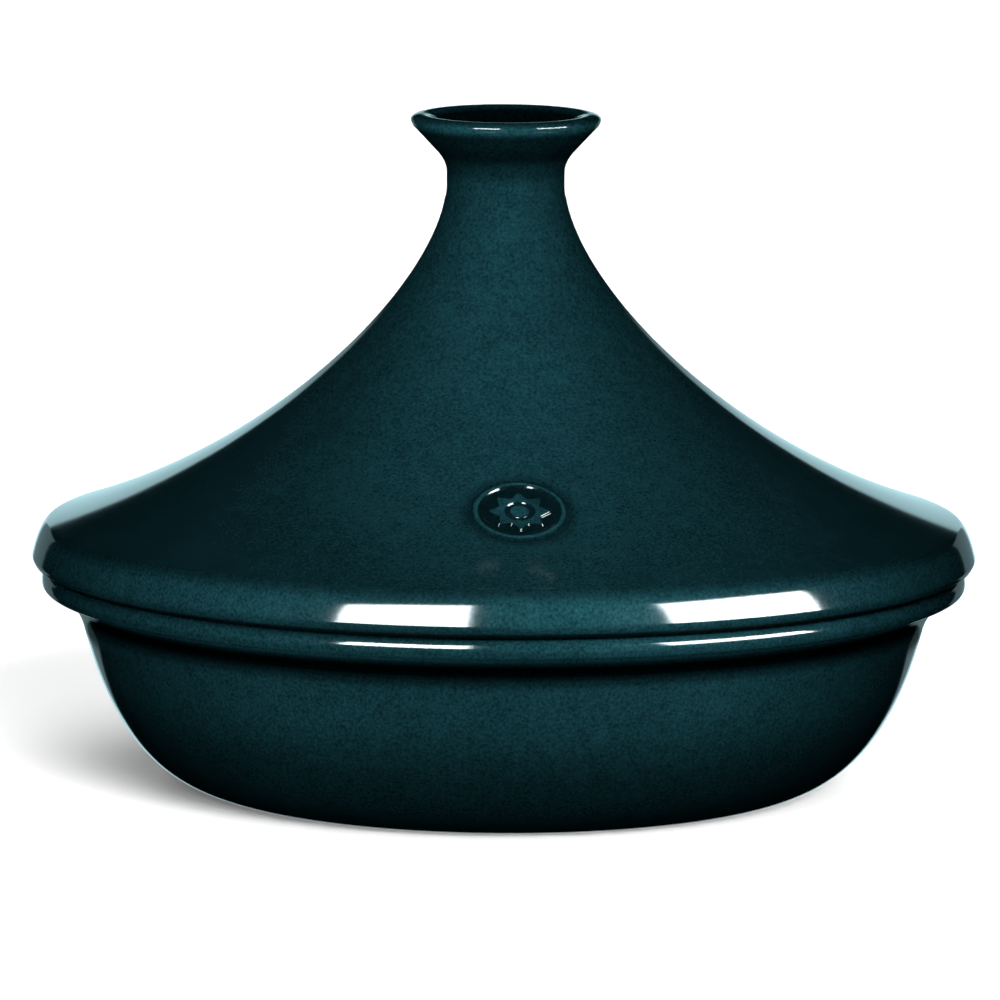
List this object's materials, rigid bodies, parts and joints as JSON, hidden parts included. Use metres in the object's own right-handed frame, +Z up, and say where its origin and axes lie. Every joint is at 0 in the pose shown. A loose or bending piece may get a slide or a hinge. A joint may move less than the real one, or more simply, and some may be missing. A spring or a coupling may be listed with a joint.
{
  "type": "tagine pot",
  "caption": "Round glazed stoneware cooking dish with a tall flared conical lid that lifts off, topped by a hollow cup-shaped knob.",
  "frame": {"origin": "centre of the dish's foot, on the surface it stands on", "axes": "+Z up along the pot's axis; -Y is the front, where the medallion on the lid faces; +X is to the right seen from the front"},
  "size_m": [0.3214, 0.3214, 0.2308],
  "materials": {
    "dish_glaze": "glossy dark teal glaze with fine pale speckle",
    "lid_glaze": "glossy dark teal glaze with fine pale speckle"
  },
  "bodies": {
    "dish": {"base_dish": "dish_glaze"},
    "lid": {"lid": "lid_glaze"}
  },
  "joints": [
    {"name": "lid_lift", "type": "slide", "parent": "dish", "child": "lid", "axis": [0, 0, 1], "range_m": [0, 0.25]}
  ]
}
